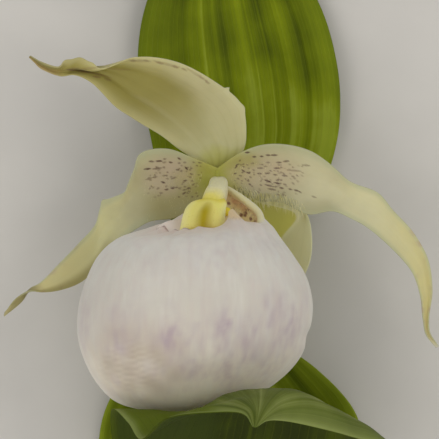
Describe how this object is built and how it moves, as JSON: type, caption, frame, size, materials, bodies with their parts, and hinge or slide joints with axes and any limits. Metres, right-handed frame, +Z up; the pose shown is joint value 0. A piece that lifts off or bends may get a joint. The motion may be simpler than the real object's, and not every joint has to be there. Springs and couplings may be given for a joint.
{
  "type": "cypripedium orchid",
  "caption": "Cut flowering stem of a slipper orchid lying on its back: hollow white pouch, spotted twisted petals, curled sepal, column and shield, ribbed ovary and pleated green leaves.",
  "frame": {"origin": "middle of the flat spot under the stem near its cut end, on the surface that the stem lies on", "axes": "+Z up out of the surface and towards the face of the flower, +Y along the stem from the cut end to the flower, +X to the right of the flower as it is looked at"},
  "size_m": [0.1062, 0.2366, 0.0906],
  "materials": {
    "stem": "satin",
    "leaf": "satin",
    "bract": "satin",
    "ovary": "satin",
    "sepal": "satin",
    "synsepal": "satin",
    "petal": "satin",
    "lip": "satin",
    "column": "satin",
    "staminode": "satin"
  },
  "bodies": {
    "root": {"stem": "stem", "leaf_back": "leaf", "leaf_front": "leaf", "bract": "bract", "ovary": "ovary", "dorsal_sepal": "sepal", "synsepal": "synsepal", "petal_left": "petal", "petal_right": "petal", "lip": "lip", "column": "column", "staminode": "staminode"}
  },
  "joints": []
}
